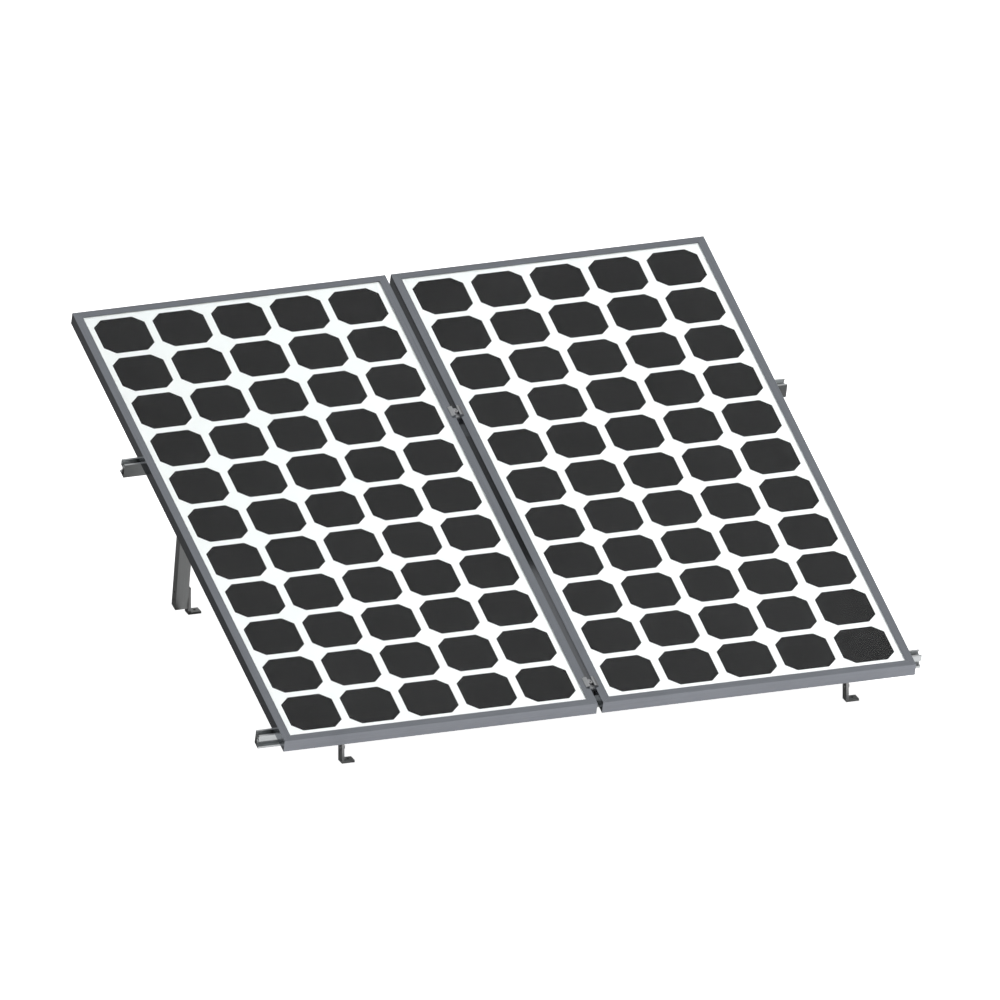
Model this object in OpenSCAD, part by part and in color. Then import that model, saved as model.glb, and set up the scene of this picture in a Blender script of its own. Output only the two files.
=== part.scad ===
// Tilted ground rack that carries two solar modules side by side, in millimetres.
// X runs along the rails, Y runs from the low front edge to the high rear edge, Z is up.
// The origin is on the ground, under the middle of the whole rack.

/* [Solar modules] */
// Width of each module, across the slope
module_w = 1000; // [960:10:1100]
// Length of each module, up the slope
module_l = 2114; // [1990:2:2300]
// Height of each module's frame
module_t = 40; // [36:1:50]
// Gap between the two modules
module_gap = 18; // [18:0.5:30]

/* [Module frame] */
// Width of the frame's top lip, over the glass
lip_w = 26; // [16:1:34]
// Thickness of the top lip
lip_t = 1.5; // [1:0.1:3]
// Thickness of the frame's walls
frame_wall = 1.8; // [1.2:0.1:2.6]
// Width of the frame's bottom flange
flange_w = 28; // [18:1:40]
// Outer width of the hollow chamber beside the frame's outer wall
chamber_w = 12; // [9:0.5:14]
// Outer height of the hollow chamber under the laminate
chamber_h = 22; // [12:1:26]
// Length of each arm of a corner key
key_arm = 42; // [25:1:80]

/* [Laminate] */
// Thickness of the glass
glass_t = 3.2; // [2:0.1:4]
// Thickness of the white backsheet under the glass
backsheet_t = 1.4; // [1:0.1:2.4]
// Cells across each module
cell_cols = 5; // [3:1:5]
// Cells up each module
cell_rows = 11; // [7:1:11]
// Width of one cell
cell_w = 162; // [140:1:170]
// Length of one cell
cell_l = 163; // [140:1:170]
// Leg of the cut at each corner of a cell
cell_cut = 31; // [5:1:45]
// Thickness of one cell
cell_t = 0.4; // [0.2:0.1:0.8]
// Distance from the frame's lip to the outermost cells
cell_edge = 19; // [8:1:22]

/* [Junction box] */
// Width of the junction box, across the module
jbox_w = 110; // [80:1:160]
// Length of the junction box, up the module
jbox_l = 82; // [60:1:120]
// Height of the junction box without its lid
jbox_h = 18; // [14:1:24]
// Wall of the junction box
jbox_wall = 2.5; // [1.5:0.5:4]
// Distance from the module's top lip to the box
jbox_inset = 90; // [40:5:200]
// Radius of each cable gland
gland_r = 7; // [5:0.5:8]
// How far each cable gland stands out
gland_l = 14; // [8:1:30]

/* [Slope] */
// Tilt of the modules above the ground, in degrees
tilt = 18; // [14:0.5:22]
// Distance up the slope from the modules' low edge to the lower rail's centre
lower_rail_y = 101; // [90:1:300]
// Distance up the slope from the modules' low edge to the upper rail's centre
upper_rail_y = 1438; // [1200:1:1800]
// Distance between the two side frames' centres
frame_spacing = 1612; // [1200:1:1800]

/* [Rails] */
// Width of a rail, up the slope
rail_w = 32; // [24:1:40]
// Height of a rail
rail_h = 47.5; // [44:0.5:60]
// How far each rail stands out beyond the modules
rail_over = 50; // [10:1:150]
// Wall of a rail
rail_wall = 2; // [1.6:0.1:2.6]
// Depth of the open channel along a rail's top
channel_d = 13.5; // [12:0.5:15]
// Reach of the two lips over that channel
channel_lip = 4.5; // [2:0.5:5]
// Thickness of those lips
channel_lip_t = 2; // [1.5:0.1:2.5]
// Thickness of the solid web under the channel
web_t = 7; // [5:0.5:8]
// Height of the slot along a rail's outer side
slot_h = 19.6; // [16:0.2:21]
// Depth of that slot
slot_d = 14.5; // [12:0.5:16]

/* [Beams and legs] */
// Width of the beams' tube, along X
tube_w = 37; // [36:1:50]
// Width of the legs' tube, along X
leg_w = 40; // [36:1:50]
// Depth of both tubes, square to X
tube_d = 36; // [34:1:44]
// Wall of both tubes
tube_wall = 3; // [2:0.5:4]
// Distance from the lower rail's centre back to the front foot's bolt
nose_bolt = 4; // [2:1:40]
// Slant of the cut at a beam's low end, measured along the beam
nose_slant = 17; // [0:1:20]
// Distance from the front foot's bolt to the beam's cut end
nose_edge = 10.5; // [9:0.5:30]
// How far a beam runs on beyond the upper rail's centre
beam_tail = 52; // [30:1:120]
// Distance down the slope from the upper rail's centre to the leg's top bolt
leg_bolt_drop = 22; // [16:1:60]
// Forward lean of the legs, in degrees from upright
leg_lean = 11.4; // [6:0.2:14]
// Length of a leg below its lowest bolt
leg_end = 27; // [16:1:28]

/* [Feet] */
// Thickness of a foot's upright plate
foot_t = 8; // [6:0.5:11]
// Thickness of a foot's flange on the ground
foot_base_t = 7; // [5:0.5:10]
// Length of a foot's flange, with the plate
foot_w = 41; // [38:0.5:60]
// Depth of a foot, from front to back
foot_d = 36; // [34:1:44]
// Radius of the rounded corners on a foot's plate
foot_round = 3; // [1:0.5:6]
// Height of the lower slot in a foot's plate
foot_low = 47; // [45:0.5:50]
// Height of the upper slot in a foot's plate
foot_high = 74; // [70:0.5:78]
// End-to-end length of the slots in a foot's plate
foot_slot = 22; // [16:1:26]
// Distance from the plate's outer face to the anchor hole
anchor_x = 24.5; // [23:0.5:28]
// Radius of the anchor hole in a foot
anchor_r = 4.5; // [3.5:0.5:6]

/* [Rail cleats] */
// Thickness of a cleat
cleat_t = 4; // [3:0.5:5]
// Length of a cleat's leg on the beam
cleat_l = 32; // [30:1:50]
// Height of a cleat's leg on the rail
cleat_h = 34; // [30:1:42]
// Distance from the rail to the cleat's bolt on the beam
cleat_bolt = 18.5; // [18:0.5:20]

/* [Mid clamps] */
// Length of a clamp, up the slope
clamp_l = 44; // [30:1:80]
// How far each wing of a clamp reaches over a module
clamp_wing = 11; // [8:0.5:20]
// Thickness of a wing at its outer tip
clamp_tip = 2; // [1.5:0.5:4]
// Width of the flat top of each wing
clamp_top = 4; // [2:0.5:6]
// Height of a wing's flat top over the module
clamp_ridge = 5.5; // [5:0.5:12]
// Depth of the clamp's floor under the module's top
clamp_sink = 8; // [6:0.5:12]
// Thickness of the clamp's floor
clamp_floor = 3; // [2:0.5:5]
// Wall of the clamp between the modules
clamp_wall = 1.5; // [1:0.1:1.6]

/* [Fasteners] */
// Radius of the small bolts
bolt_r = 4; // [3:0.5:4]
// Radius of the leg bolts
pivot_r = 5; // [4:0.5:6]
// Length of the flat nuts in the rails' channels
slot_nut_l = 20; // [16:1:30]
// Thickness of the spacer between a leg and its beam
spacer_t = 3.5; // [2:0.5:8]
// Thickness of the washers under the leg bolts' heads and nuts
pivot_washer_t = 2; // [1:0.5:3]

/* [Fits] */
// Radial clearance of a bolt in its hole
bolt_gap = 0.5; // [0.2:0.1:0.8]
// Clearance of a clamp between the modules
clamp_gap = 0.5; // [0.3:0.1:0.6]
// Clearance of a foot's plate under its rail
foot_gap = 0.6; // [0.4:0.1:2]
// Clearance around each cell in the backsheet
cell_gap = 0.1; // [0.05:0.05:0.2]
// Clearance of the laminate's edge inside the frame
laminate_gap = 0.8; // [0.5:0.1:2]
// Clearance of a flat nut at the sides of a rail's channel
slot_nut_gap = 1; // [0.5:0.1:1.5]
// Clearance of a corner key in the frame's chamber
key_gap = 0.2; // [0.1:0.05:0.4]

/* [Hidden] */
// Sides drawn on a full circle
$fn = 48;
// Which node is drawn
// Small overlap of a cutting shape beyond the face it cuts
cut = 1;

// Bolt sizes that follow the bolts' radius
button_r = bolt_r * 1.75;
button_h = bolt_r * 1.1;
cap_r = bolt_r * 1.625;
cap_h = bolt_r * 2;
hex_af = bolt_r * 3.25;
hex_h = bolt_r * 1.325;
nut_t = bolt_r * 1.625;
thin_nut_t = bolt_r;
washer_r = bolt_r * 2;
washer_t = bolt_r * 0.4;
thread_end = bolt_r * 0.35;
bolt_hole = bolt_r + bolt_gap;
pivot_af = pivot_r * 3.2;
pivot_head_h = pivot_r * 1.28;
pivot_nut_t = pivot_r * 1.68;
pivot_washer_r = pivot_r * 2;
pivot_hole = pivot_r + bolt_gap;
// Share of a hexagon's width across its flats that its corner radius takes
hex_corner = 1 / sqrt(3);

// Heights inside a module, above its underside
groove_h = glass_t + backsheet_t;
ledge_z = module_t - lip_t - groove_h;
glass_z = module_t - lip_t - glass_t;
laminate_inset = frame_wall + laminate_gap;
chamber_z = ledge_z - chamber_h;
// Opening inside the frame's lip, and the pitch of the cells that fill it
open_w = module_w - 2 * lip_w;
open_l = module_l - 2 * lip_w;
cell_pitch_x = (open_w - 2 * cell_edge - cell_w) / (cell_cols - 1);
cell_pitch_y = (open_l - 2 * cell_edge - cell_l) / (cell_rows - 1);
// The modules' left edges
module_x = [-module_gap / 2 - module_w, module_gap / 2];

// Heights under the modules' underside, measured square to the slope
channel_w = rail_w - 2 * rail_wall;
slot_top = channel_d + web_t;
slot_mid = slot_top + slot_h / 2;
slot_back = rail_w - slot_d;
rail_l = 2 * module_w + module_gap + 2 * rail_over;
bore_w = tube_w - 2 * tube_wall;
leg_bore_w = leg_w - 2 * tube_wall;
bore_d = tube_d - 2 * tube_wall;
beam_mid = rail_h + tube_d / 2;
nose_y = lower_rail_y + nose_bolt;
leg_bolt_y = upper_rail_y - leg_bolt_drop;
beam_end_y = upper_rail_y + beam_tail;
beam_nose_y = nose_y + nose_slant / 2 - nose_edge;
leg_top = tube_d / 2 - tube_wall - cut;

// The slope's own frame starts at the modules' low edge, on their underside
slope_z = foot_high - nose_y * sin(tilt) + beam_mid * cos(tilt);
slope_y = -(module_l * cos(tilt) - module_t * sin(tilt)) / 2;
// Place in the rack's frame of a point on the slope, from its distance up the slope and its depth
function on_slope(y, depth) = [
    slope_y + y * cos(tilt) + depth * sin(tilt),
    slope_z + y * sin(tilt) - depth * cos(tilt)
];
nose = on_slope(nose_y, beam_mid);
leg_head = on_slope(leg_bolt_y, beam_mid);
// Place on a leg at a given height
function leg_at(z) = leg_head[0] + (leg_head[1] - z) * tan(leg_lean);
leg_low = leg_at(foot_low);
leg_high = leg_at(foot_high);
rear_foot_y = (leg_low + leg_high) / 2;
leg_l = (leg_head[1] - foot_low) / cos(leg_lean) + leg_top + leg_end;
foot_h = foot_high + tube_d / 2 / cos(tilt) - foot_d / 2 * tan(tilt) - foot_gap;

// Centres of the side frames, and the faces that meet there
frame_x = [-frame_spacing / 2, frame_spacing / 2];
front_foot_dx = tube_w / 2;
leg_dx = -tube_w / 2 - spacer_t - leg_w;
rear_foot_dx = -tube_w / 2 - spacer_t;

// Puts what is drawn on the slope into the rack's frame
module slope() {
    translate([0, slope_y, slope_z])
        rotate([tilt, 0, 0])
            children();
}

// Puts what is drawn along a leg, from its top bolt downwards, into the rack's frame
module leg_line(x) {
    translate([x, leg_head[0], leg_head[1]])
        rotate([leg_lean, 0, 0])
            children();
}

// Round bar or hole along X, from x = 0
module rod_x(r, l) {
    rotate([0, 90, 0])
        cylinder(r = r, h = l);
}

// Round bar or hole along Y, from y = 0
module rod_y(r, l) {
    rotate([-90, 0, 0])
        cylinder(r = r, h = l);
}

// Hexagonal prism along Z
module hexagon(af, h) {
    cylinder(r = af * hex_corner, h = h, $fn = 6);
}

// Hexagon nut along Z, with its bore
module nut(af, h, r) {
    difference() {
        hexagon(af, h);
        translate([0, 0, -cut])
            cylinder(r = r, h = h + 2 * cut);
    }
}

// Plain washer along Z
module washer(r, hole, t) {
    difference() {
        cylinder(r = r, h = t);
        translate([0, 0, -cut])
            cylinder(r = hole, h = t + 2 * cut);
    }
}

// Hexagon bolt whose head sits on z = 0 and whose shank runs down
module hex_bolt(r, l, af, h) {
    union() {
        hexagon(af, h);
        translate([0, 0, -l])
            cylinder(r = r, h = l + h / 2);
    }
}

// Screw with a low domed head on z = 0, a hexagon socket and a shank that runs down
module button_screw(l) {
    difference() {
        union() {
            intersection() {
                cylinder(r = button_r, h = button_h);
                translate([0, 0, button_h - button_r * 1.25])
                    sphere(r = button_r * 1.25);
            }
            translate([0, 0, -l])
                cylinder(r = bolt_r, h = l + button_h / 3);
        }
        translate([0, 0, button_h * 0.45])
            hexagon(bolt_r * 1.25, button_h);
    }
}

// Cylinder-head screw on z = 0, with a hexagon socket and a shank that runs down
module cap_screw(l) {
    difference() {
        union() {
            cylinder(r = cap_r, h = cap_h);
            translate([0, 0, -l])
                cylinder(r = bolt_r, h = l + cap_h / 2);
        }
        translate([0, 0, cap_h * 0.5])
            hexagon(bolt_r * 1.5, cap_h);
    }
}

// Cross-section of a rail, from its closed side at x = 0, with its top at y = 0
module rail_section() {
    difference() {
        translate([0, -rail_h])
            square([rail_w, rail_h]);
        translate([rail_wall, -channel_d])
            square([channel_w, channel_d - channel_lip_t]);
        translate([rail_wall + channel_lip, -channel_d])
            square([channel_w - 2 * channel_lip, channel_d + cut]);
        translate([slot_back, -slot_top - slot_h])
            square([slot_d + cut, slot_h]);
        translate([rail_wall, -rail_h + rail_wall])
            square([slot_back - 2 * rail_wall, rail_h - slot_top - rail_wall]);
        translate([rail_wall, -rail_h + rail_wall])
            square([rail_w - 2 * rail_wall, rail_h - slot_top - slot_h - 2 * rail_wall]);
    }
}

// A rail on the slope, with its slot facing down the slope, centred on y = 0
module rail() {
    difference() {
        translate([-rail_l / 2, rail_w / 2, 0])
            rotate([90, 0, 90])
                linear_extrude(rail_l)
                    mirror([1, 0])
                        rail_section();
        for (x = frame_x)
            translate([x, rail_w / 2 - slot_back - cut, -slot_mid])
                rod_y(bolt_hole, slot_back + 2 * cut);
    }
}

module lower_rail() {
    color([0.60, 0.62, 0.63])
        slope()
            translate([0, lower_rail_y, 0])
                rail();
}

module upper_rail() {
    color([0.60, 0.62, 0.63])
        slope()
            translate([0, upper_rail_y, 0])
                mirror([0, 1, 0])
                    rail();
}

// Beam under both rails, with a slanted cut at its low end
module beam(x) {
    color([0.55, 0.57, 0.58])
        slope()
            translate([x, 0, 0])
                difference() {
                    translate([tube_w / 2, beam_end_y, -rail_h])
                        rotate([90, 0, -90])
                            mirror([0, 1, 0])
                                linear_extrude(tube_w)
                                    beam_side();
                    beam_bore();
                    translate([0, nose_y, -beam_mid])
                        rod_x(bolt_hole, tube_w);
                    translate([-tube_w / 2 - cut, leg_bolt_y, -beam_mid])
                        rod_x(pivot_hole, tube_w + 2 * cut);
                    for (y = cleat_bolt_at)
                        translate([0, y, -rail_h - tube_wall - cut])
                            cylinder(r = bolt_hole, h = tube_wall + 2 * cut);
                }
}

// Side outline of a beam: x runs down the slope from its high end, y runs down into it
module beam_side() {
    beam_l = beam_end_y - beam_nose_y;
    polygon([
        [0, 0],
        [beam_l + nose_slant, 0],
        [beam_l, tube_d],
        [0, tube_d]
    ]);
}

// Bore all along a beam
module beam_bore() {
    translate([-bore_w / 2, beam_nose_y - nose_slant - cut, -rail_h - tube_d + tube_wall])
        cube([bore_w, beam_end_y - beam_nose_y + nose_slant + 2 * cut, bore_d]);
}

module left_beam() {
    beam(frame_x[0]);
}

module right_beam() {
    beam(frame_x[1]);
}

// Leg beside a beam, from its top bolt down to its foot
module rear_leg(x) {
    color([0.44, 0.45, 0.45])
        leg_line(x + leg_dx)
            difference() {
                translate([0, -tube_d / 2, leg_top - leg_l])
                    cube([leg_w, tube_d, leg_l]);
                translate([tube_wall, -bore_d / 2, leg_top - leg_l - cut])
                    cube([leg_bore_w, bore_d, leg_l + 2 * cut]);
                translate([-cut, 0, 0])
                    rod_x(pivot_hole, leg_w + 2 * cut);
                for (z = [foot_low, foot_high])
                    translate([-cut, 0, (z - leg_head[1]) / cos(leg_lean)])
                        rod_x(bolt_hole, leg_w + 2 * cut);
            }
}

module left_rear_leg() {
    rear_leg(frame_x[0]);
}

module right_rear_leg() {
    rear_leg(frame_x[1]);
}

// Slot across a foot's plate, at a given height
module plate_slot(z) {
    reach = foot_slot / 2 - bolt_hole;
    translate([-cut, -reach, z - bolt_hole])
        cube([foot_t + 2 * cut, 2 * reach, 2 * bolt_hole]);
    for (y = [-reach, reach])
        translate([-cut, y, z])
            rod_x(bolt_hole, foot_t + 2 * cut);
}

// Angle foot: its plate stands on x = 0 and its flange points to +X
module foot(x, y) {
    color([0.42, 0.43, 0.43])
        translate([x, y, 0])
            difference() {
                union() {
                    translate([0, -foot_d / 2, 0])
                        cube([foot_w, foot_d, foot_base_t]);
                    translate([0, -foot_d / 2, 0])
                        cube([foot_t, foot_d, foot_h - foot_round]);
                    translate([0, -foot_d / 2 + foot_round, 0])
                        cube([foot_t, foot_d - 2 * foot_round, foot_h]);
                    for (side = [-1, 1])
                        translate([0, side * (foot_d / 2 - foot_round), foot_h - foot_round])
                            rod_x(foot_round, foot_t);
                }
                plate_slot(foot_low);
                plate_slot(foot_high);
                translate([anchor_x, 0, -cut])
                    cylinder(r = anchor_r, h = foot_base_t + 2 * cut);
            }
}

module left_front_foot() {
    foot(frame_x[0] + front_foot_dx, nose[0]);
}

module right_front_foot() {
    foot(frame_x[1] + front_foot_dx, nose[0]);
}

module left_rear_foot() {
    foot(frame_x[0] + rear_foot_dx, rear_foot_y);
}

module right_rear_foot() {
    foot(frame_x[1] + rear_foot_dx, rear_foot_y);
}

// A cleat's own frame: its corner is where the rail's closed side meets the beam's top,
// and +Y runs away from the rail
module at_cleat(x, upper) {
    slope()
        translate([x, 0, -rail_h])
            translate([0, upper ? upper_rail_y - rail_w / 2 : lower_rail_y + rail_w / 2, 0])
                mirror([0, upper ? 1 : 0, 0])
                    children();
}

// Distances up the slope of the cleats' bolts on the beams
cleat_bolt_at = [
    lower_rail_y + rail_w / 2 + cleat_bolt,
    upper_rail_y - rail_w / 2 - cleat_bolt
];
// Height of a cleat's rail bolt over the beam
cleat_rise = rail_h - slot_mid;

module cleat(x, upper) {
    color([0.50, 0.52, 0.53])
        at_cleat(x, upper)
            difference() {
                union() {
                    translate([-tube_w / 2, 0, 0])
                        cube([tube_w, cleat_l, cleat_t]);
                    translate([-tube_w / 2, 0, 0])
                        cube([tube_w, cleat_t, cleat_h]);
                }
                translate([0, cleat_bolt, -cut])
                    cylinder(r = bolt_hole, h = cleat_t + 2 * cut);
                translate([0, -cut, cleat_rise])
                    rod_y(bolt_hole, cleat_t + 2 * cut);
            }
}

module lower_left_cleat() {
    cleat(frame_x[0], false);
}

module lower_right_cleat() {
    cleat(frame_x[1], false);
}

module upper_left_cleat() {
    cleat(frame_x[0], true);
}

module upper_right_cleat() {
    cleat(frame_x[1], true);
}

// Two hexagon bolts for each cleat: one into the beam, one into the rail's slot
module cleat_bolts() {
    color([0.70, 0.71, 0.72])
        for (x = frame_x, upper = [false, true])
            at_cleat(x, upper) {
                translate([0, cleat_bolt, cleat_t])
                    hex_bolt(bolt_r, cleat_t + tube_wall + nut_t + thread_end, hex_af, hex_h);
                translate([0, cleat_t, cleat_rise])
                    rotate([-90, 0, 0])
                        hex_bolt(bolt_r, cleat_t + slot_back + nut_t + thread_end, hex_af, hex_h);
            }
}

module cleat_nuts() {
    color([0.70, 0.71, 0.72])
        for (x = frame_x, upper = [false, true])
            at_cleat(x, upper) {
                translate([0, cleat_bolt, -tube_wall - nut_t])
                    nut(hex_af, nut_t, bolt_r);
                translate([0, -slot_back - nut_t, cleat_rise])
                    rotate([-90, 0, 0])
                        nut(hex_af, nut_t, bolt_r);
            }
}

// Where each foot is screwed to a tube: the foot's outer face, and the screw's place
foot_screw_at = [
    for (x = frame_x) [x + front_foot_dx, nose[0], foot_high],
    for (x = frame_x) [x + rear_foot_dx, leg_low, foot_low],
    for (x = frame_x) [x + rear_foot_dx, leg_high, foot_high]
];

module foot_screws() {
    color([0.52, 0.53, 0.54])
        for (p = foot_screw_at)
            translate([p[0] + foot_t, p[1], p[2]])
                rotate([0, 90, 0])
                    button_screw(foot_t + tube_wall + nut_t + thread_end);
}

// Nuts inside the tubes, behind the feet
module foot_nuts() {
    color([0.70, 0.71, 0.72])
        for (p = foot_screw_at)
            translate([p[0] - tube_wall - nut_t, p[1], p[2]])
                rotate([0, 90, 0])
                    nut(hex_af, nut_t, bolt_r);
}

// Earth screw through the lower slot of each front foot, from its open side
module earth_screws() {
    color([0.52, 0.53, 0.54])
        for (x = frame_x)
            translate([x + front_foot_dx, nose[0], foot_low])
                rotate([0, -90, 0])
                    button_screw(foot_t + washer_t + thin_nut_t + thread_end);
}

module earth_washers() {
    color([0.70, 0.71, 0.72])
        for (x = frame_x)
            translate([x + front_foot_dx + foot_t, nose[0], foot_low])
                rotate([0, 90, 0])
                    washer(washer_r, bolt_hole, washer_t);
}

module earth_nuts() {
    color([0.70, 0.71, 0.72])
        for (x = frame_x)
            translate([x + front_foot_dx + foot_t + washer_t, nose[0], foot_low])
                rotate([0, 90, 0])
                    nut(hex_af, thin_nut_t, bolt_r);
}

// Length of a leg bolt's grip: washer, leg, spacer, beam, washer
grip = tube_w + leg_w + spacer_t + 2 * pivot_washer_t;

module leg_bolts() {
    color([0.70, 0.71, 0.72])
        for (x = frame_x)
            leg_line(x + leg_dx - pivot_washer_t)
                rotate([0, -90, 0])
                    hex_bolt(pivot_r, grip + pivot_nut_t + thread_end, pivot_af, pivot_head_h);
}

// Washers under a leg bolt's head and under its nut
module leg_washers() {
    color([0.70, 0.71, 0.72])
        for (x = frame_x, dx = [-pivot_washer_t, grip - 2 * pivot_washer_t])
            leg_line(x + leg_dx + dx)
                rotate([0, 90, 0])
                    washer(pivot_washer_r, pivot_hole, pivot_washer_t);
}

// Spacers between the legs and the beams
module leg_spacers() {
    color([0.70, 0.71, 0.72])
        for (x = frame_x)
            leg_line(x + leg_dx + leg_w)
                rotate([0, 90, 0])
                    washer(pivot_washer_r, pivot_hole, spacer_t);
}

module leg_nuts() {
    color([0.70, 0.71, 0.72])
        for (x = frame_x)
            leg_line(x + leg_dx - pivot_washer_t + grip)
                rotate([0, 90, 0])
                    nut(pivot_af, pivot_nut_t, pivot_r);
}

// Half width of a clamp between the modules, outside and inside
clamp_half = module_gap / 2 - clamp_gap;
clamp_in = clamp_half - clamp_wall;

// Cross-section of a clamp, with the modules' top at y = 0
module clamp_section() {
    tip_x = module_gap / 2 + clamp_wing;
    top_x = clamp_half + clamp_top;
    polygon([
        [-tip_x, 0], [-clamp_half, 0], [-clamp_half, -clamp_sink],
        [clamp_half, -clamp_sink], [clamp_half, 0], [tip_x, 0],
        [tip_x, clamp_tip], [top_x, clamp_ridge], [clamp_in, clamp_ridge],
        [clamp_in, clamp_floor - clamp_sink], [-clamp_in, clamp_floor - clamp_sink],
        [-clamp_in, clamp_ridge], [-top_x, clamp_ridge], [-tip_x, clamp_tip]
    ]);
}

// A mid clamp over the rail at y
module mid_clamp(y) {
    color([0.78, 0.79, 0.80])
        slope()
            translate([0, y, module_t])
                difference() {
                    translate([0, clamp_l / 2, 0])
                        rotate([90, 0, 0])
                            linear_extrude(clamp_l)
                                clamp_section();
                    translate([0, 0, -clamp_sink - cut])
                        cylinder(r = bolt_hole, h = clamp_sink + 2 * cut);
                }
}

module lower_mid_clamp() {
    mid_clamp(lower_rail_y);
}

module upper_mid_clamp() {
    mid_clamp(upper_rail_y);
}

// Screws down through the clamps, between the modules, to the nuts in the rails' channels
module clamp_screws() {
    seat = module_t + clamp_floor - clamp_sink;
    color([0.45, 0.46, 0.46])
        for (y = [lower_rail_y, upper_rail_y])
            slope()
                translate([0, y, seat])
                    cap_screw(seat + channel_lip_t + nut_t + thread_end);
}

// Flat nuts held under the lips of the rails' channels
module clamp_nuts() {
    nut_w = channel_w - 2 * slot_nut_gap;
    color([0.70, 0.71, 0.72])
        for (y = [lower_rail_y, upper_rail_y])
            slope()
                translate([0, y, -channel_lip_t - nut_t])
                    difference() {
                        translate([-slot_nut_l / 2, -nut_w / 2, 0])
                            cube([slot_nut_l, nut_w, nut_t]);
                        translate([0, 0, -cut])
                            cylinder(r = bolt_r, h = nut_t + 2 * cut);
                    }
}

// Cross-section of a module's frame bar: x runs inwards and y runs up
module bar_section() {
    square([frame_wall, module_t]);
    translate([0, module_t - lip_t])
        square([lip_w, lip_t]);
    translate([0, ledge_z - frame_wall])
        square([chamber_w, frame_wall]);
    translate([chamber_w - frame_wall, max(chamber_z, 0)])
        square([frame_wall, ledge_z - max(chamber_z, 0)]);
    translate([0, max(chamber_z, 0)])
        square([chamber_w, frame_wall]);
    square([flange_w, frame_wall]);
}

// One mitred bar along X, with its outer face on y = 0
module mitred_bar(l) {
    reach = max(lip_w, flange_w) + cut;
    intersection() {
        rotate([90, 0, 90])
            linear_extrude(l)
                bar_section();
        translate([0, 0, -cut])
            linear_extrude(module_t + 2 * cut)
                polygon([[0, 0], [l, 0], [l - reach, reach], [reach, reach]]);
    }
}

// Bar number 0 is the front one, and the rest follow anticlockwise
module frame_bar(x, number) {
    corner = [[0, 0], [module_w, 0], [module_w, module_l], [0, module_l]][number];
    color([0.47, 0.49, 0.52])
        slope()
            translate([x + corner[0], corner[1], 0])
                rotate([0, 0, 90 * number])
                    mitred_bar(number % 2 == 0 ? module_w : module_l);
}

// Angle pieces inside the frame's chamber, one at each corner
module corner_keys(x) {
    key_w = chamber_w - 2 * frame_wall - 2 * key_gap;
    key_z = max(chamber_z, 0) + frame_wall + key_gap;
    key_h = ledge_z - frame_wall - key_gap - key_z;
    inset = frame_wall + key_gap;
    color([0.60, 0.60, 0.60])
        slope()
            translate([x, 0, 0])
                for (right = [0, 1], rear = [0, 1])
                    translate([right * module_w, rear * module_l, key_z])
                        mirror([right, 0, 0])
                            mirror([0, rear, 0])
                                translate([inset, inset, 0]) {
                                    cube([key_arm, key_w, key_h]);
                                    cube([key_w, key_arm, key_h]);
                                }
}

// Flat sheet that fills the frame's groove, from z up by t
module sheet(x, z, t) {
    slope()
        translate([x + laminate_inset, laminate_inset, z])
            cube([module_w - 2 * laminate_inset, module_l - 2 * laminate_inset, t]);
}

module glass(x) {
    color([0.75, 0.85, 0.90, 0.35])
        sheet(x, glass_z, glass_t);
}

// Square with cut corners, grown by g on every side
module cell_outline(g) {
    a = cell_w / 2 + g;
    b = cell_l / 2 + g;
    c = cell_cut;
    polygon([
        [-a, -b + c], [-a + c, -b], [a - c, -b], [a, -b + c],
        [a, b - c], [a - c, b], [-a + c, b], [-a, b - c]
    ]);
}

// All the cells of a module as flat plates, with their tops under the glass
module cell_plates(x, g) {
    slope()
        translate([x + lip_w + cell_edge + cell_w / 2, lip_w + cell_edge + cell_l / 2, 0])
            for (col = [0 : cell_cols - 1], row = [0 : cell_rows - 1])
                translate([col * cell_pitch_x, row * cell_pitch_y, glass_z - cell_t])
                    linear_extrude(cell_t + (g > 0 ? cut : 0))
                        cell_outline(g);
}

module cells(x) {
    color([0.17, 0.17, 0.18])
        cell_plates(x, 0);
}

// White sheet under the glass, with a shallow pocket for each cell
module backsheet(x) {
    color([0.95, 0.97, 0.97])
        difference() {
            sheet(x, glass_z - backsheet_t, backsheet_t);
            cell_plates(x, cell_gap);
        }
}

// Middle of a junction box on the slope, at its seat under the backsheet
function jbox_at(x) = [
    x + module_w / 2, module_l - lip_w - jbox_inset - jbox_l / 2, glass_z - backsheet_t
];

// Shallow box, open below
module junction_box(x) {
    inner = [jbox_w - 2 * jbox_wall, jbox_l - 2 * jbox_wall, jbox_h];
    color([0.10, 0.10, 0.11])
        slope()
            translate(jbox_at(x))
                difference() {
                    translate([-jbox_w / 2, -jbox_l / 2, -jbox_h])
                        cube([jbox_w, jbox_l, jbox_h]);
                    translate([-inner[0] / 2, -inner[1] / 2, -jbox_h - jbox_wall])
                        cube(inner);
                    for (side = gland_sides)
                        translate([side * jbox_w / 4, -jbox_l / 2 - cut, -jbox_h / 2])
                            rod_y(gland_r / 2, jbox_wall + 2 * cut);
                }
}

// The two glands sit a quarter of the box's width from its middle
gland_sides = [-1, 1];

module junction_lid(x) {
    color([0.13, 0.13, 0.14])
        slope()
            translate(jbox_at(x))
                translate([-jbox_w / 2, -jbox_l / 2, -jbox_h - jbox_wall])
                    cube([jbox_w, jbox_l, jbox_wall]);
}

// Cable glands on the box's lower side
module glands(x) {
    color([0.08, 0.08, 0.09])
        slope()
            translate(jbox_at(x))
                for (side = gland_sides)
                    translate([side * jbox_w / 4, -jbox_l / 2 - gland_l, -jbox_h / 2])
                        difference() {
                            rod_y(gland_r, gland_l);
                            translate([0, -cut, 0])
                                rod_y(gland_r / 2, gland_l + 2 * cut);
                        }
}

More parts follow.
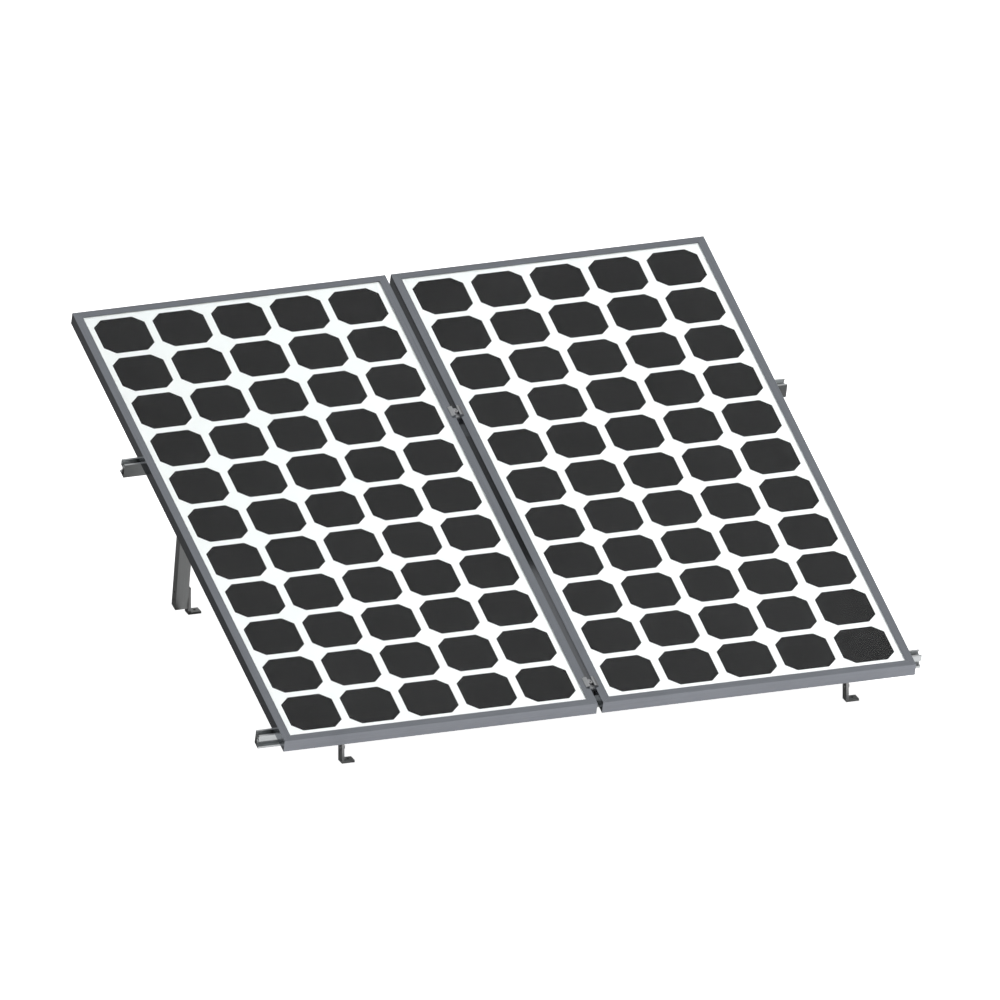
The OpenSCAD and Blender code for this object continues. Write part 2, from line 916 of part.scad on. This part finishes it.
lower_rail();
upper_rail();
left_beam();
right_beam();
left_rear_leg();
right_rear_leg();
left_front_foot();
right_front_foot();
left_rear_foot();
right_rear_foot();
lower_left_cleat();
lower_right_cleat();
upper_left_cleat();
upper_right_cleat();
cleat_bolts();
cleat_nuts();
foot_screws();
foot_nuts();
earth_screws();
earth_washers();
earth_nuts();
leg_bolts();
leg_washers();
leg_spacers();
leg_nuts();
lower_mid_clamp();
upper_mid_clamp();
clamp_screws();
clamp_nuts();
frame_bar(module_x[0], 0);  // left_module_front_bar
frame_bar(module_x[0], 1);  // left_module_right_bar
frame_bar(module_x[0], 2);  // left_module_rear_bar
frame_bar(module_x[0], 3);  // left_module_left_bar
frame_bar(module_x[1], 0);  // right_module_front_bar
frame_bar(module_x[1], 1);  // right_module_right_bar
frame_bar(module_x[1], 2);  // right_module_rear_bar
frame_bar(module_x[1], 3);  // right_module_left_bar
corner_keys(module_x[0]);  // left_corner_keys
corner_keys(module_x[1]);  // right_corner_keys
glass(module_x[0]);  // left_glass
glass(module_x[1]);  // right_glass
cells(module_x[0]);  // left_cells
cells(module_x[1]);  // right_cells
backsheet(module_x[0]);  // left_backsheet
backsheet(module_x[1]);  // right_backsheet
junction_box(module_x[0]);  // left_junction_box
junction_box(module_x[1]);  // right_junction_box
junction_lid(module_x[0]);  // left_junction_lid
junction_lid(module_x[1]);  // right_junction_lid
glands(module_x[0]);  // left_glands
glands(module_x[1]);  // right_glands
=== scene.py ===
import math

import bmesh
import bpy
from mathutils import Matrix, Vector


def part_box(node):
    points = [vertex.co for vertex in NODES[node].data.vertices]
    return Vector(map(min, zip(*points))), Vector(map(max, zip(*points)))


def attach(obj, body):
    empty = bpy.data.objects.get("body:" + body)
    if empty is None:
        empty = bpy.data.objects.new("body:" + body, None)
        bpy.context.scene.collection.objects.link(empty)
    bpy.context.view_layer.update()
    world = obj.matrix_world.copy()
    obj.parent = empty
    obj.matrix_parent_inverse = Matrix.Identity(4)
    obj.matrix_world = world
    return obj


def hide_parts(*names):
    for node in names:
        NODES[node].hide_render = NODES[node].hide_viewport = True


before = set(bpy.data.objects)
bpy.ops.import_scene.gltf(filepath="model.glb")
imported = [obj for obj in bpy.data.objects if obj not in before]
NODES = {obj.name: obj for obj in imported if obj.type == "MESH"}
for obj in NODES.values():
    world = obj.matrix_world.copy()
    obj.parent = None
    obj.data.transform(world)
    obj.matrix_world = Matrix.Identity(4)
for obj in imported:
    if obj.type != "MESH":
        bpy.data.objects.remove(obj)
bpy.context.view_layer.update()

# Slope of the modules, and lean of the rear legs
TILT = math.radians(18.0)
LEAN = math.radians(11.4)
SCENE = bpy.context.scene


# ---------------------------------------------------------------- materials


class Mat:
    """A small builder of node materials."""

    def __init__(self, name, base, metallic=0.0, roughness=0.5):
        self.mat = bpy.data.materials.new(name)
        self.mat.use_nodes = True
        self.tree = self.mat.node_tree
        self.tree.nodes.clear()
        self.out = self.tree.nodes.new("ShaderNodeOutputMaterial")
        self.bsdf = self.tree.nodes.new("ShaderNodeBsdfPrincipled")
        self.bsdf.inputs["Base Color"].default_value = (*base, 1.0)
        self.bsdf.inputs["Metallic"].default_value = metallic
        self.bsdf.inputs["Roughness"].default_value = roughness
        self.tree.links.new(self.bsdf.outputs["BSDF"], self.out.inputs["Surface"])
        self.mat.diffuse_color = (*base, 1.0)

    def node(self, kind, **values):
        n = self.tree.nodes.new(kind)
        for key, value in values.items():
            setattr(n, key, value)
        return n

    def link(self, a, b):
        self.tree.links.new(a, b)

    def place(self, scale=(1.0, 1.0, 1.0), turn=(0.0, 0.0, 0.0)):
        """Coordinates in the row frame, in metres, turned and then stretched."""
        coord = self.node("ShaderNodeTexCoord")
        turned = self.node("ShaderNodeMapping", vector_type="POINT")
        turned.inputs["Rotation"].default_value = turn
        self.link(coord.outputs["Object"], turned.inputs["Vector"])
        stretched = self.node("ShaderNodeMapping", vector_type="POINT")
        stretched.inputs["Scale"].default_value = scale
        self.link(turned.outputs["Vector"], stretched.inputs["Vector"])
        return stretched.outputs["Vector"]

    def noise(self, vector, scale, detail=3.0, rough=0.55):
        n = self.node("ShaderNodeTexNoise")
        n.inputs["Scale"].default_value = scale
        n.inputs["Detail"].default_value = detail
        n.inputs["Roughness"].default_value = rough
        self.link(vector, n.inputs["Vector"])
        return n.outputs["Fac"]

    def ramp(self, fac, low, high, start=0.3, end=0.7):
        n = self.node("ShaderNodeMapRange")
        n.inputs["From Min"].default_value = start
        n.inputs["From Max"].default_value = end
        n.inputs["To Min"].default_value = low
        n.inputs["To Max"].default_value = high
        self.link(fac, n.inputs["Value"])
        return n.outputs["Result"]

    def tint(self, fac, dark, light, start=0.3, end=0.7):
        n = self.node("ShaderNodeValToRGB")
        n.color_ramp.elements[0].position = start
        n.color_ramp.elements[0].color = (*dark, 1.0)
        n.color_ramp.elements[1].position = end
        n.color_ramp.elements[1].color = (*light, 1.0)
        self.link(fac, n.inputs["Fac"])
        return n.outputs["Color"]

    def bump(self, height, strength, distance):
        n = self.node("ShaderNodeBump")
        n.inputs["Strength"].default_value = strength
        n.inputs["Distance"].default_value = distance
        self.link(height, n.inputs["Height"])
        self.link(n.outputs["Normal"], self.bsdf.inputs["Normal"])


def shade(colour, share):
    """The colour made lighter or darker."""
    return tuple(c * share for c in colour)


def extruded(name, base, roughness, turn, along):
    """Drawn or extruded aluminium: fine lines along one axis, with faint stains."""
    m = Mat(name, base, 1.0, roughness)
    stretch = [260.0, 260.0, 260.0]
    stretch[along] = 3.0
    lines = m.noise(m.place(tuple(stretch), turn), 1.0, 4.0, 0.65)
    stains = m.noise(m.place((1.0, 1.0, 1.0), turn), 9.0, 5.0, 0.6)
    both = m.node("ShaderNodeMath", operation="ADD")
    half = m.node("ShaderNodeMath", operation="MULTIPLY")
    m.link(stains, half.inputs[0])
    half.inputs[1].default_value = 0.6
    m.link(lines, both.inputs[0])
    m.link(half.outputs[0], both.inputs[1])
    m.link(m.tint(both.outputs[0], shade(base, 0.9), shade(base, 1.08), 0.55, 1.05),
           m.bsdf.inputs["Base Color"])
    m.link(m.ramp(both.outputs[0], roughness - 0.05, roughness + 0.06, 0.55, 1.05),
           m.bsdf.inputs["Roughness"])
    m.bump(lines, 0.12, 0.0004)
    return m.mat


def cast(name, base, roughness, metallic=1.0, scale=700.0, depth=0.0003):
    """Anodised, plated or moulded surface with a fine even grain."""
    m = Mat(name, base, metallic, roughness)
    where = m.place()
    grain = m.noise(where, scale, 3.0, 0.6)
    cloud = m.noise(where, 14.0, 4.0, 0.6)
    m.link(m.tint(cloud, shade(base, 0.93), shade(base, 1.06)), m.bsdf.inputs["Base Color"])
    m.link(m.ramp(grain, roughness - 0.04, roughness + 0.05), m.bsdf.inputs["Roughness"])
    m.bump(grain, 0.15, depth)
    return m.mat


def steel(name, base, roughness):
    """Stainless fasteners: turned rings and faint scratches."""
    m = Mat(name, base, 1.0, roughness)
    scratches = m.noise(m.place((900.0, 120.0, 900.0)), 1.0, 3.0, 0.6)
    cloud = m.noise(m.place(), 160.0, 3.0, 0.5)
    m.link(m.tint(cloud, shade(base, 0.85), shade(base, 1.1)), m.bsdf.inputs["Base Color"])
    m.link(m.ramp(scratches, roughness - 0.06, roughness + 0.1), m.bsdf.inputs["Roughness"])
    m.bump(scratches, 0.1, 0.0002)
    return m.mat


def silicon():
    """Dark cells, each a touch different, with a silky fine texture."""
    m = Mat("silicon_cells", (0.031, 0.031, 0.032), 0.0, 0.34)
    where = m.place((1.0, 1.0, 1.0), (-TILT, 0.0, 0.0))
    silk = m.noise(where, 1800.0, 2.0, 0.5)
    wide = m.noise(where, 2.2, 3.0, 0.5)
    m.link(m.tint(wide, (0.0142, 0.0142, 0.0147), (0.0172, 0.0172, 0.0178)),
           m.bsdf.inputs["Base Color"])
    m.link(m.ramp(silk, 0.4, 0.5), m.bsdf.inputs["Roughness"])
    m.bump(silk, 0.05, 0.0001)
    m.bsdf.inputs["Specular IOR Level"].default_value = 0.05
    return m.mat


def backsheet():
    """White film behind and between the cells."""
    m = Mat("white_backsheet", (0.88, 0.93, 0.94), 0.0, 0.55)
    where = m.place()
    grain = m.noise(where, 1200.0, 2.0, 0.5)
    cloud = m.noise(where, 3.0, 3.0, 0.5)
    m.link(m.tint(cloud, (0.79, 0.812, 0.814), (0.815, 0.838, 0.84)), m.bsdf.inputs["Base Color"])
    m.link(m.ramp(grain, 0.5, 0.6), m.bsdf.inputs["Roughness"])
    m.bump(grain, 0.1, 0.0002)
    return m.mat


def clear_glass():
    """Low-iron solar glass with a faint rolled texture, which lets lamps through."""
    m = Mat("module_glass", (0.985, 0.995, 0.99), 0.0, 0.05)
    m.bsdf.inputs["Transmission Weight"].default_value = 1.0
    m.bsdf.inputs["IOR"].default_value = 1.1
    rolled = m.noise(m.place(), 420.0, 2.0, 0.5)
    m.link(m.ramp(rolled, 0.03, 0.08), m.bsdf.inputs["Roughness"])
    m.bump(rolled, 0.02, 0.0002)
    path = m.node("ShaderNodeLightPath")
    clear = m.node("ShaderNodeBsdfTransparent")
    mix = m.node("ShaderNodeMixShader")
    m.link(path.outputs["Is Shadow Ray"], mix.inputs["Fac"])
    m.link(m.bsdf.outputs["BSDF"], mix.inputs[1])
    m.link(clear.outputs["BSDF"], mix.inputs[2])
    m.link(mix.outputs["Shader"], m.out.inputs["Surface"])
    return m.mat


SLOPE_TURN = (-TILT, 0.0, 0.0)
LEG_TURN = (-LEAN, 0.0, 0.0)
RAIL = extruded("rail_aluminium", (0.54, 0.56, 0.565), 0.34, SLOPE_TURN, 0)
BEAM = extruded("beam_aluminium", (0.42, 0.425, 0.43), 0.4, SLOPE_TURN, 1)
LEG = extruded("leg_aluminium", (0.54, 0.55, 0.55), 0.45, LEG_TURN, 2)
CLEAT = extruded("cleat_aluminium", (0.5, 0.505, 0.51), 0.4, SLOPE_TURN, 0)
BAR_X = extruded("anodised_frame_cross", (0.235, 0.25, 0.275), 0.42, SLOPE_TURN, 0)
BAR_Y = extruded("anodised_frame_side", (0.235, 0.25, 0.275), 0.2, SLOPE_TURN, 1)
FOOT = cast("foot_aluminium", (0.5, 0.505, 0.505), 0.5)
CLAMP = cast("clamp_aluminium", (0.42, 0.43, 0.44), 0.36)
STEEL = steel("stainless_steel", (0.5, 0.5, 0.51), 0.32)
PLASTIC = cast("black_plastic", (0.018, 0.018, 0.019), 0.5, 0.0, 1500.0, 0.0002)
CELLS = silicon()
SHEET = backsheet()
GLASS = clear_glass()


# The material of a node, by the first of these endings that its name has
FINISHES = (
    (("_rail",), RAIL), (("_beam",), BEAM), (("_leg",), LEG), (("_foot",), FOOT),
    (("_cleat", "_keys"), CLEAT), (("_clamp",), CLAMP),
    (("front_bar", "rear_bar"), BAR_X), (("left_bar", "right_bar"), BAR_Y),
    (("_cells",), CELLS), (("_backsheet",), SHEET), (("_glass",), GLASS),
    (("_junction_box", "_junction_lid", "_glands"), PLASTIC),
)


def finish_of(name):
    """Material of a node; what has none of the endings is a steel fastener."""
    for endings, material in FINISHES:
        if name.endswith(endings):
            return material
    return STEEL


def paint(obj, mat):
    """Give the object the material alone."""
    obj.data.materials.clear()
    obj.data.materials.append(mat)


def soften(obj, width, angle):
    """Small bevel on the edges that turn by more than the angle."""
    edge = obj.modifiers.new("soft_edges", "BEVEL")
    edge.width = width
    edge.segments = 2
    edge.limit_method = "ANGLE"
    edge.angle_limit = math.radians(angle)


# Width of the bevel on a node's edges, by its name's ending, and the least angle bevelled
SOFT_EDGES = {
    "_rail": 0.0005, "_beam": 0.0012, "_leg": 0.0012, "_foot": 0.0008, "_cleat": 0.0006,
    "_clamp": 0.0004, "_bar": 0.0004, "_box": 0.0012, "_lid": 0.001, "_bolts": 0.0004,
    "_nuts": 0.0004, "_screws": 0.0003, "_washers": 0.0003, "_spacers": 0.0003,
}
NODE_ANGLE, RIB_ANGLE = 40.0, 30.0

for name, obj in NODES.items():
    paint(obj, finish_of(name))
    for ending, width in SOFT_EDGES.items():
        if name.endswith(ending):
            soften(obj, width, NODE_ANGLE)


# ---------------------------------------------------------------- added pieces


def to_object(bm, name, mat):
    """A piece of the object from its mesh code."""
    mesh = bpy.data.meshes.new(name)
    bmesh.ops.recalc_face_normals(bm, faces=bm.faces)
    bm.to_mesh(mesh)
    bm.free()
    obj = bpy.data.objects.new(name, mesh)
    SCENE.collection.objects.link(obj)
    paint(obj, mat)
    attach(obj, "root")
    return obj


# The slope's frame: x across, y up the slope, z square to it, from the modules' underside
MODULE_W, MODULE_L, MODULE_T, GAP = 1.000, 2.114, 0.040, 0.018
# The glass: its underside, its thickness and its distance from the module's edges
GLASS_Z, GLASS_T, EDGE_IN = 0.0353, 0.0032, 0.0026
# The pane stays clear of what is under and over it, and its edge is ground off
PANE_UNDER, PANE_OVER, PANE_GROUND = 0.00015, 0.00005, 0.0006
foot_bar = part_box("left_module_front_bar")
SLOPE = (Matrix.Translation((0.0, foot_bar[0].y + MODULE_T * math.sin(TILT),
                             foot_bar[0].z)) @ Matrix.Rotation(TILT, 4, "X"))


def pane(side, x):
    """Glass pane with a ground edge, just clear of the cells under it."""
    bm = bmesh.new()
    low, high = GLASS_Z + PANE_UNDER, GLASS_Z + GLASS_T - PANE_OVER
    w, l = MODULE_W - 2 * EDGE_IN, MODULE_L - 2 * EDGE_IN
    bmesh.ops.create_cube(bm, size=1.0)
    bmesh.ops.scale(bm, vec=(w, l, high - low), verts=bm.verts)
    bmesh.ops.bevel(bm, geom=list(bm.edges), offset=PANE_GROUND, segments=2,
                    affect="EDGES")
    bmesh.ops.transform(bm, matrix=SLOPE @ Matrix.Translation(
        (x + MODULE_W / 2, MODULE_L / 2, (low + high) / 2)), verts=bm.verts)
    obj = to_object(bm, side + "_pane", GLASS)
    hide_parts(side + "_glass")


# The junction box on a module: its middle and half sizes, its height, and its lid
JBOX_Y, JBOX_HALF, JBOX_H = 1.957, (0.055, 0.041), 0.018
LID_Z, LID_T = 0.0134, 0.0025
# The raised panel of the lid: its margin, corner radius, and how far it stands out
PANEL_IN, PANEL_R, PANEL_OUT = 0.013, 0.005, 0.0012
# The ribs on the panel
RIB_COUNT, RIB_PITCH, RIB_HALF, RIB_R, RIB_OUT = 5, 0.014, (0.0012, 0.021), 0.0011, 0.0008
RIB_EDGE = 0.0003
# How far a panel, rib or screw head reaches into what carries it
ROOT, HEAD_ROOT = 0.0004, 0.0003
# The screws of the lid: their distance from its edges, and the rim, dish and cross
SCREW_IN, RIM_R, RIM_BORE, RIM_OUT = 0.006, 0.0031, 0.0021, 0.0011
DISH_R, DISH_OUT = 0.0022, 0.0007
CROSS_HALF, CROSS_R, CROSS_OUT = (0.0021, 0.00035), 0.0003, 0.0010
SCREW_SIDES = 24
# The glands: distance from the box's middle, radius and length
GLAND_X, GLAND_R, GLAND_L = 0.0275, 0.007, 0.014
# The hexagon at the box: half its width, how far it comes from the box, and its clearance
HEX_HALF, HEX_L, HEX_END = 0.0076, 0.004, 0.0002
# The grooved cap: what it laps over and into the gland, its grooves, and its ends
CAP_SKIN, CAP_GROOVE, CAP_FROM, CAP_END = 0.0002, 0.0004, 0.0015, 0.005
GLAND_SIDES = 36


def prism(bm, ring, low, high, place):
    """Closed prism on a ring of (x, y) points between two heights, put where place says."""
    ends = []
    for z in (low, high):
        ends.append([bm.verts.new(place @ Vector((px, py, z))) for px, py in ring])
    bm.faces.new(ends[0][::-1])
    bm.faces.new(ends[1])
    for i in range(len(ring)):
        j = (i + 1) % len(ring)
        bm.faces.new((ends[0][i], ends[0][j], ends[1][j], ends[1][i]))


def sleeve(bm, outer, inner, low, high, place):
    """Prism with a bore: both rings have the same number of points."""
    rows = []
    for ring, z in ((outer, low), (outer, high), (inner, high), (inner, low)):
        rows.append([bm.verts.new(place @ Vector((px, py, z))) for px, py in ring])
    for a in range(4):
        b = (a + 1) % 4
        for i in range(len(outer)):
            j = (i + 1) % len(outer)
            bm.faces.new((rows[a][i], rows[a][j], rows[b][j], rows[b][i]))


def circle(r, count, wave=0.0):
    """Ring of points, with every other one pushed out by wave."""
    points = []
    for i in range(count):
        turn = 2.0 * math.pi * i / count
        reach = r + (wave if i % 2 else 0.0)
        points.append((reach * math.cos(turn), reach * math.sin(turn)))
    return points


def round_box(half_x, half_y, r, steps=5):
    """Rectangle with rounded corners, as a ring of points."""
    points = []
    for corner, (sx, sy) in enumerate(((1, 1), (-1, 1), (-1, -1), (1, -1))):
        for i in range(steps + 1):
            turn = math.pi / 2 * (corner + i / steps)
            points.append((sx * (half_x - r) + r * math.cos(turn),
                           sy * (half_y - r) + r * math.sin(turn)))
    return points


def lid_details(side, x):
    """Raised panel with ribs and the cross-head screws of a junction box's lid."""
    below = SLOPE @ Matrix.Translation((x + MODULE_W / 2, JBOX_Y, LID_Z))
    half_x, half_y = JBOX_HALF
    panel = bmesh.new()
    prism(panel, round_box(half_x - PANEL_IN, half_y - PANEL_IN, PANEL_R),
          -PANEL_OUT, ROOT, below)
    for i in range(RIB_COUNT):
        shift = (i - RIB_COUNT // 2) * RIB_PITCH
        at = below @ Matrix.Translation((shift, 0.0, -PANEL_OUT))
        prism(panel, round_box(*RIB_HALF, RIB_R), -RIB_OUT, ROOT, at)
    ribs = to_object(panel, side + "_lid_ribs", PLASTIC)
    soften(ribs, RIB_EDGE, RIB_ANGLE)
    heads = bmesh.new()
    for sx in (-1, 1):
        for sy in (-1, 1):
            at = below @ Matrix.Translation(
                (sx * (half_x - SCREW_IN), sy * (half_y - SCREW_IN), 0.0))
            sleeve(heads, circle(RIM_R, SCREW_SIDES), circle(RIM_BORE, SCREW_SIDES),
                   -RIM_OUT, HEAD_ROOT, at)
            prism(heads, circle(DISH_R, SCREW_SIDES), -DISH_OUT, HEAD_ROOT, at)
            for turn in (math.pi / 4, -math.pi / 4):
                bar = at @ Matrix.Rotation(turn, 4, "Z")
                prism(heads, round_box(*CROSS_HALF, CROSS_R, 2), -CROSS_OUT, 0.0, bar)
    to_object(heads, side + "_lid_screws", STEEL)


def hexagon(half, count):
    """Hexagon as a ring of points, half its width across the flats."""
    points = []
    for px, py in circle(1.0, count):
        off = (math.atan2(py, px) + math.pi / 6) % (math.pi / 3) - math.pi / 6
        points.append((px * half / math.cos(off), py * half / math.cos(off)))
    return points


def gland_caps(side, x):
    """Hexagon base and grooved cap on each cable gland, open along its bore."""
    bm = bmesh.new()
    bore = circle(GLAND_R - CAP_SKIN, GLAND_SIDES)
    for dx in (-GLAND_X, GLAND_X):
        mouth = (x + MODULE_W / 2 + dx, JBOX_Y - JBOX_HALF[1] - GLAND_L,
                 LID_Z + LID_T + JBOX_H / 2)
        along = SLOPE @ Matrix.Translation(mouth) @ Matrix.Rotation(-math.pi / 2, 4, "X")
        sleeve(bm, hexagon(HEX_HALF, GLAND_SIDES), bore,
               GLAND_L - HEX_L, GLAND_L - HEX_END, along)
        sleeve(bm, circle(GLAND_R + CAP_SKIN, GLAND_SIDES, CAP_GROOVE), bore,
               CAP_FROM, GLAND_L - CAP_END, along)
    to_object(bm, side + "_gland_caps", PLASTIC)


for side, x in (("left", -GAP / 2 - MODULE_W), ("right", GAP / 2)):
    pane(side, x)
    lid_details(side, x)
    gland_caps(side, x)


# ---------------------------------------------------------------- camera

AZIMUTH, ELEVATION = math.radians(-18.67), math.radians(21.17)
BACK = Vector((math.sin(AZIMUTH) * math.cos(ELEVATION),
               -math.cos(AZIMUTH) * math.cos(ELEVATION), math.sin(ELEVATION)))
AIM = Vector((0.0200, -0.0020, 0.4281))
VIEW_WIDTH, VIEW_DISTANCE = 3.028, 6.0

cam_data = bpy.data.cameras.new("camera")
cam_data.type = "ORTHO"
cam_data.ortho_scale = VIEW_WIDTH
cam_data.clip_end = 100.0
camera = bpy.data.objects.new("camera", cam_data)
SCENE.collection.objects.link(camera)
camera.location = AIM + BACK * VIEW_DISTANCE
camera.rotation_mode = "QUATERNION"
camera.rotation_quaternion = (-BACK).to_track_quat("-Z", "Y")
SCENE.camera = camera


# ---------------------------------------------------------------- floor and light


# The floor glows to near white for the camera. What it bounces is painted shade: its colour
# falls off along y, from the lit floor in front of the rack to a painted shadow under it.
FLOOR_GLOW = 0.95
FLOOR_BOUNCE, FLOOR_SHADE = 0.85, 0.2
SHADE_FROM, SHADE_TO = -0.95, -0.65
FLOOR_HALF, FLOOR_DROP = 40.0, 0.0005


def pale_floor():
    """Plain floor, just under the feet."""
    bm = bmesh.new()
    bmesh.ops.create_grid(bm, x_segments=8, y_segments=8, size=FLOOR_HALF)
    mesh = bpy.data.meshes.new("floor")
    bm.to_mesh(mesh)
    bm.free()
    obj = bpy.data.objects.new("floor", mesh)
    SCENE.collection.objects.link(obj)
    obj.location.z = -FLOOR_DROP
    m = Mat("pale_floor", (0.9, 0.9, 0.9), 0.0, 0.9)
    path = m.node("ShaderNodeLightPath")
    glow = m.node("ShaderNodeEmission")
    glow.inputs["Color"].default_value = (1.0, 1.0, 1.0, 1.0)
    glow.inputs["Strength"].default_value = FLOOR_GLOW
    add = m.node("ShaderNodeAddShader")
    painted_shade_bounce = m.node("ShaderNodeBsdfDiffuse")
    coord = m.node("ShaderNodeTexCoord")
    split = m.node("ShaderNodeSeparateXYZ")
    m.link(coord.outputs["Object"], split.inputs["Vector"])
    # Painted shade: the bounced colour darkens along y, standing in for the rack's shadow on the
    # floor
    m.link(m.ramp(split.outputs["Y"], FLOOR_BOUNCE, FLOOR_SHADE, SHADE_FROM, SHADE_TO),
           painted_shade_bounce.inputs["Color"])
    mix = m.node("ShaderNodeMixShader")
    m.link(glow.outputs["Emission"], add.inputs[0])
    m.link(m.bsdf.outputs["BSDF"], add.inputs[1])
    m.link(path.outputs["Is Camera Ray"], mix.inputs["Fac"])
    m.link(painted_shade_bounce.outputs["BSDF"], mix.inputs[1])
    m.link(add.outputs["Shader"], mix.inputs[2])
    m.link(mix.outputs["Shader"], m.out.inputs["Surface"])
    obj.data.materials.append(m.mat)


pale_floor()


def lamp(name, place, aim, size, power, tint=(1.0, 1.0, 1.0)):
    """Rectangular lamp at a place, shining at the aim, not seen itself."""
    data = bpy.data.lights.new(name, "AREA")
    data.shape = "RECTANGLE"
    data.size, data.size_y = size
    data.energy = power
    data.color = tint
    obj = bpy.data.objects.new(name, data)
    SCENE.collection.objects.link(obj)
    obj.location = place
    obj.rotation_mode = "QUATERNION"
    obj.rotation_quaternion = (Vector(aim) - Vector(place)).to_track_quat("-Z", "Y")
    obj.visible_camera = False


lamp("key", (3.0, -3.6, 6.2), (0.0, 0.0, 0.3), (4.0, 4.0), 235.0)
lamp("floor_fill", (0.2, -1.5, 0.01), (0.2, -1.5, 1.0), (3.4, 0.96), 4.4, (1.0, 0.95, 0.955))
for x in (-1.0, 1.06):
    lamp("stub_fill", (x, -0.95, 0.01), (x, -0.95, 1.0), (0.16, 0.16), 0.035)
lamp("under_fill", (0.0, -0.08, 0.012), (0.0, -0.08, 1.0), (1.7, 1.05), 1.6)


# Strength of the sky low down and high up, and the heights between which it changes
SKY_LOW, SKY_HIGH = 0.15, 0.95
SKY_FROM, SKY_TO = 0.25, 0.8


def studio_sky():
    """Soft light that is brightest overhead; what the camera sees of it is plain white."""
    world = bpy.data.worlds.new("studio")
    SCENE.world = world
    world.use_nodes = True
    tree = world.node_tree
    tree.nodes.clear()
    coord = tree.nodes.new("ShaderNodeTexCoord")
    split = tree.nodes.new("ShaderNodeSeparateXYZ")
    rise = tree.nodes.new("ShaderNodeMapRange")
    rise.inputs["From Min"].default_value = SKY_FROM
    rise.inputs["From Max"].default_value = SKY_TO
    rise.inputs["To Min"].default_value = SKY_LOW
    rise.inputs["To Max"].default_value = SKY_HIGH
    lit = tree.nodes.new("ShaderNodeBackground")
    plain = tree.nodes.new("ShaderNodeBackground")
    plain.inputs["Color"].default_value = (1.0, 1.0, 1.0, 1.0)
    path = tree.nodes.new("ShaderNodeLightPath")
    mix = tree.nodes.new("ShaderNodeMixShader")
    out = tree.nodes.new("ShaderNodeOutputWorld")
    tree.links.new(coord.outputs["Generated"], split.inputs["Vector"])
    tree.links.new(split.outputs["Z"], rise.inputs["Value"])
    tree.links.new(rise.outputs["Result"], lit.inputs["Strength"])
    tree.links.new(path.outputs["Is Camera Ray"], mix.inputs["Fac"])
    tree.links.new(lit.outputs["Background"], mix.inputs[1])
    tree.links.new(plain.outputs["Background"], mix.inputs[2])
    tree.links.new(mix.outputs["Shader"], out.inputs["Surface"])


studio_sky()
SCENE.view_settings.view_transform = "Standard"
